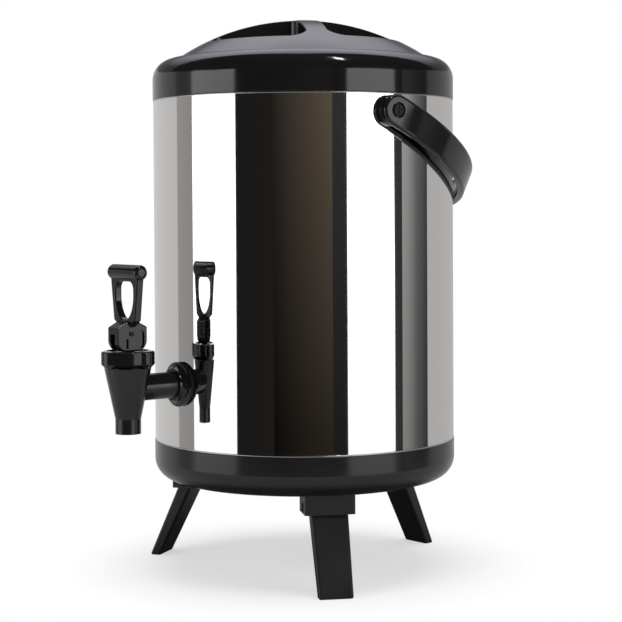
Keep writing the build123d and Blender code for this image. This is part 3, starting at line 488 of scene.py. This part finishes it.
# %% [markdown]
# ## Rolled hems on the shell
# The shell is one rolled sheet, and each end is curled over to a thin bead where it slips under the
# plastic. The bead catches a bright line all around. Two ready rings would do, but one small circle swept
# along a large one is what Curve to Mesh is for, and a node tree with named inputs makes both ends at
# once.

# %% Run a node tree
def node_tree(name, inputs):
    """A geometry node tree with named inputs; returns it with its input and output sockets."""
    tree = bpy.data.node_groups.new(name, "GeometryNodeTree")
    tree.interface.new_socket(name="Geometry", in_out="INPUT", socket_type="NodeSocketGeometry")
    for label, kind in inputs.items():
        tree.interface.new_socket(name=label, in_out="INPUT", socket_type=kind)
    tree.interface.new_socket(name="Geometry", in_out="OUTPUT", socket_type="NodeSocketGeometry")
    return tree, add_node(tree, "NodeGroupInput").outputs, add_node(tree, "NodeGroupOutput").inputs


def run_tree(name, tree, values, body, start=None):
    """The mesh that a tree makes from a starting mesh, as a plain piece that rides on a body."""
    maker = bpy.data.objects.new(name + "_maker", start or bpy.data.meshes.new(name + "_start"))
    scene.collection.objects.link(maker)
    modifier = maker.modifiers.new(name, "NODES")
    modifier.node_group = tree
    for socket in tree.interface.items_tree:
        if socket.in_out == "INPUT" and socket.name in values:
            modifier[socket.identifier] = values[socket.name]
    evaluated = maker.evaluated_get(bpy.context.evaluated_depsgraph_get())
    mesh = bpy.data.meshes.new_from_object(evaluated)
    bpy.data.objects.remove(maker)
    shape = bmesh.new()
    shape.from_mesh(mesh)
    bmesh.ops.recalc_face_normals(shape, faces=shape.faces)
    shape.to_mesh(mesh)
    shape.free()
    mesh.name = name
    piece = bpy.data.objects.new(name, mesh)
    scene.collection.objects.link(piece)
    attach(piece, body)
    print(name, "faces:", len(mesh.polygons))


# %% Shell hems
tree, given, result = node_tree("hem_tree", {
    "Barrel": "NodeSocketFloat", "Bead": "NodeSocketFloat", "Low": "NodeSocketVector",
    "High": "NodeSocketVector", "Finish": "NodeSocketMaterial"})
ring = add_node(tree, "GeometryNodeCurvePrimitiveCircle", {"Resolution": 256, "Radius": given["Barrel"]})
bead = add_node(tree, "GeometryNodeCurvePrimitiveCircle", {"Resolution": 16, "Radius": given["Bead"]})
hem = add_node(tree, "GeometryNodeCurveToMesh", {"Curve": ring.outputs[0], "Profile Curve": bead.outputs[0]})
both = add_node(tree, "GeometryNodeJoinGeometry")
for level in ("Low", "High"):
    end = add_node(tree, "GeometryNodeTransform", {"Geometry": hem.outputs[0], "Translation": given[level]})
    tree.links.new(end.outputs[0], both.inputs[0])
smooth = add_node(tree, "GeometryNodeSetShadeSmooth", {0: both.outputs[0]})
real = add_node(tree, "GeometryNodeRealizeInstances", {0: smooth.outputs[0]})
done = add_node(tree, "GeometryNodeSetMaterial", {"Geometry": real.outputs[0], "Material": given["Finish"]})
tree.links.new(done.outputs[0], result[0])

BEAD_R = 0.9 * MM
BEAD_OUT = 0.2 * MM            # how far the bead stands out from the shell
shell_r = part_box("outer_shell")[1][0]
base_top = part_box("base_cup")[1][2]
collar_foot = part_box("top_collar")[0][2]
run_tree("shell_hems", tree, {
    "Barrel": shell_r - BEAD_R + BEAD_OUT, "Bead": BEAD_R, "Low": (0, 0, base_top + BEAD_R / 2),
    "High": (0, 0, collar_foot - BEAD_R / 2), "Finish": brushed_steel}, "vessel")


# %% [markdown]
# ## Screws and rivets
# Two screws hold the carrying handle, and three pins carry the legs. The solids have plain heads and
# ends. Here the screws get a cross recess and the pins get peened heads. Each could be placed by hand,
# but one tree that puts a shape on each point, and turns it along the arrow that the point carries,
# serves any number of them.

# %% Points with arrows
joints = {joint["name"]: joint for joint in record["behaviour"]["joints"]}


def reach_along(node, place, arrow):
    """How far a solid goes from a place, along an arrow."""
    return max((corner.co - place).dot(arrow) for corner in solids[node].data.vertices)


def arrow_points(name, places, arrows):
    """A mesh of loose points, each with an arrow for the way that its shape faces."""
    mesh = bpy.data.meshes.new(name)
    mesh.from_pydata(places, [], [])
    flat = [value for arrow in arrows for value in arrow]
    mesh.attributes.new("arrow", "FLOAT_VECTOR", "POINT").data.foreach_set("vector", flat)
    print(name, len(places))
    return mesh


def place_shapes(tree, shape, given, result):
    """The end of a tree: the shape on every point, turned along its arrow, made real and given a finish."""
    arrow = add_node(tree, "GeometryNodeInputNamedAttribute", {"Name": "arrow"}, data_type="FLOAT_VECTOR")
    turned = add_node(tree, "FunctionNodeAlignRotationToVector", {"Vector": arrow.outputs[0]}, axis="Z")
    copies = add_node(tree, "GeometryNodeInstanceOnPoints",
                      {"Points": given["Geometry"], "Instance": shape, "Rotation": turned.outputs[0]})
    real = add_node(tree, "GeometryNodeRealizeInstances", {0: copies.outputs[0]})
    done = add_node(tree, "GeometryNodeSetMaterial",
                    {"Geometry": real.outputs[0], "Material": given["Finish"]})
    tree.links.new(done.outputs[0], result[0])


# %% Screw heads
tree, given, result = node_tree("screw_head_tree", {
    "Head": "NodeSocketFloat", "Rim": "NodeSocketFloat", "Height": "NodeSocketFloat",
    "Slot long": "NodeSocketVector", "Slot across": "NodeSocketVector", "Finish": "NodeSocketMaterial"})
head = add_node(tree, "GeometryNodeMeshCone", {
    "Vertices": 48, "Radius Top": given["Rim"], "Radius Bottom": given["Head"], "Depth": given["Height"]})
cross = add_node(tree, "GeometryNodeMeshBoolean", {0: head.outputs["Mesh"]}, operation="DIFFERENCE")
for side in ("Slot long", "Slot across"):
    slot = add_node(tree, "GeometryNodeMeshCube", {"Size": given[side]})
    tree.links.new(slot.outputs["Mesh"], cross.inputs[1])
place_shapes(tree, cross.outputs["Mesh"], given, result)

HEAD_R, RIM_SHARE, HEAD_HEIGHT = 4.9 * MM, 0.86, 0.7 * MM
SLOT_LONG, SLOT_WIDE, SLOT_HIGH = 5.2 * MM, 1.1 * MM, 4 * MM
SUNK = 0.1 * MM                # the head is let into the screw's plain end by so much
swing = joints["handle_swing"]
pivot, along = Vector(swing["pos_m"]), Vector(swing["axis"])
screw_end = reach_along("handle_screws", pivot, along) - SUNK
arrows = [along, -along]
screw_points = arrow_points("screw_points", [pivot + arrow * screw_end for arrow in arrows], arrows)
run_tree("handle_screw_heads", tree, {
    "Head": HEAD_R, "Rim": RIM_SHARE * HEAD_R, "Height": HEAD_HEIGHT,
    "Slot long": (SLOT_LONG, SLOT_WIDE, SLOT_HIGH), "Slot across": (SLOT_WIDE, SLOT_LONG, SLOT_HIGH),
    "Finish": black_steel}, "vessel", screw_points)

# %% Peened pin heads
tree, given, result = node_tree("rivet_tree", {
    "Head": "NodeSocketFloat", "Flatten": "NodeSocketVector", "Finish": "NodeSocketMaterial"})
ball = add_node(tree, "GeometryNodeMeshUVSphere", {"Segments": 32, "Rings": 16, "Radius": given["Head"]})
flat = add_node(tree, "GeometryNodeTransform", {"Geometry": ball.outputs["Mesh"], "Scale": given["Flatten"]})
soft = add_node(tree, "GeometryNodeSetShadeSmooth", {0: flat.outputs[0]})
place_shapes(tree, soft.outputs[0], given, result)

PIN_HEAD_R = 3.6 * MM
PIN_HEAD_FLAT = 0.3            # a head's height as a share of its radius
places, arrows = [], []
for side in ("right", "left", "back"):
    fold = joints["leg_fold_" + side]
    pivot, along = Vector(fold["pos_m"]), Vector(fold["axis"])
    for arrow in (along, -along):
        places.append(pivot + arrow * reach_along("leg_block_" + side, pivot, arrow))
        arrows.append(arrow)
pin_points = arrow_points("pin_points", places, arrows)
run_tree("leg_pin_heads", tree, {
    "Head": PIN_HEAD_R, "Flatten": (1, 1, PIN_HEAD_FLAT), "Finish": black_steel},
    "vessel", pin_points)


# %% [markdown]
# ## Valve spring
# A tilted lever lifts the tap's valve, which presses the spring above it shorter. Here a copy of the spring,
# with its loose corners merged, takes the solid's place and rides on the vessel. It keeps the spring's full
# length.

# %% Valve spring
SAME_POINT = 0.001 * MM        # corners that lie closer than this are merged
spring_mesh = solids["tap_spring"].data.copy()
spring_mesh.name = "valve_spring"
shape = bmesh.new()
shape.from_mesh(spring_mesh)
bmesh.ops.remove_doubles(shape, verts=shape.verts, dist=SAME_POINT)
shape.to_mesh(spring_mesh)
shape.free()
spring = bpy.data.objects.new("valve_spring", spring_mesh)
scene.collection.objects.link(spring)
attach(spring, "vessel")
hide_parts("tap_spring")

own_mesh(spring)
